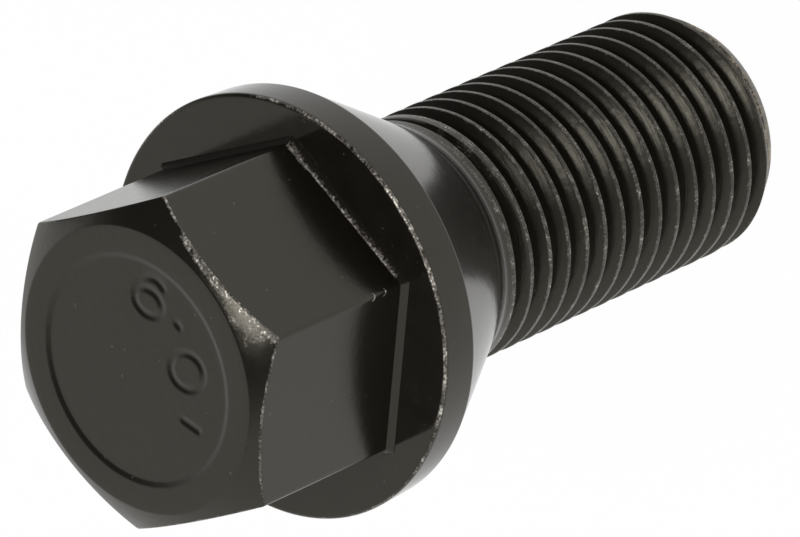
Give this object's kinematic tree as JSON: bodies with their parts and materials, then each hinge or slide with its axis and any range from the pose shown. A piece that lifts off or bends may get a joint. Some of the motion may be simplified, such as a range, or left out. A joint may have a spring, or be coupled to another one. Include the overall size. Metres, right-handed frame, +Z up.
{
  "type": "wheel bolt",
  "caption": "Black hexagon-head wheel bolt with a round flange, a conical seat under it and a metric thread, which clamps a car's wheel to its hub.",
  "frame": {"origin": "middle of the flat thread end, on which the bolt stands", "axes": "+Z up the bolt's axis to the head; a corner of the hexagon points along -Y"},
  "size_m": [0.0232, 0.0232, 0.0441],
  "materials": {
    "black_steel": "smooth black coating on forged and thread-rolled steel, worn at the edges"
  },
  "bodies": {
    "root": {"wheel_bolt": "black_steel"}
  },
  "joints": []
}
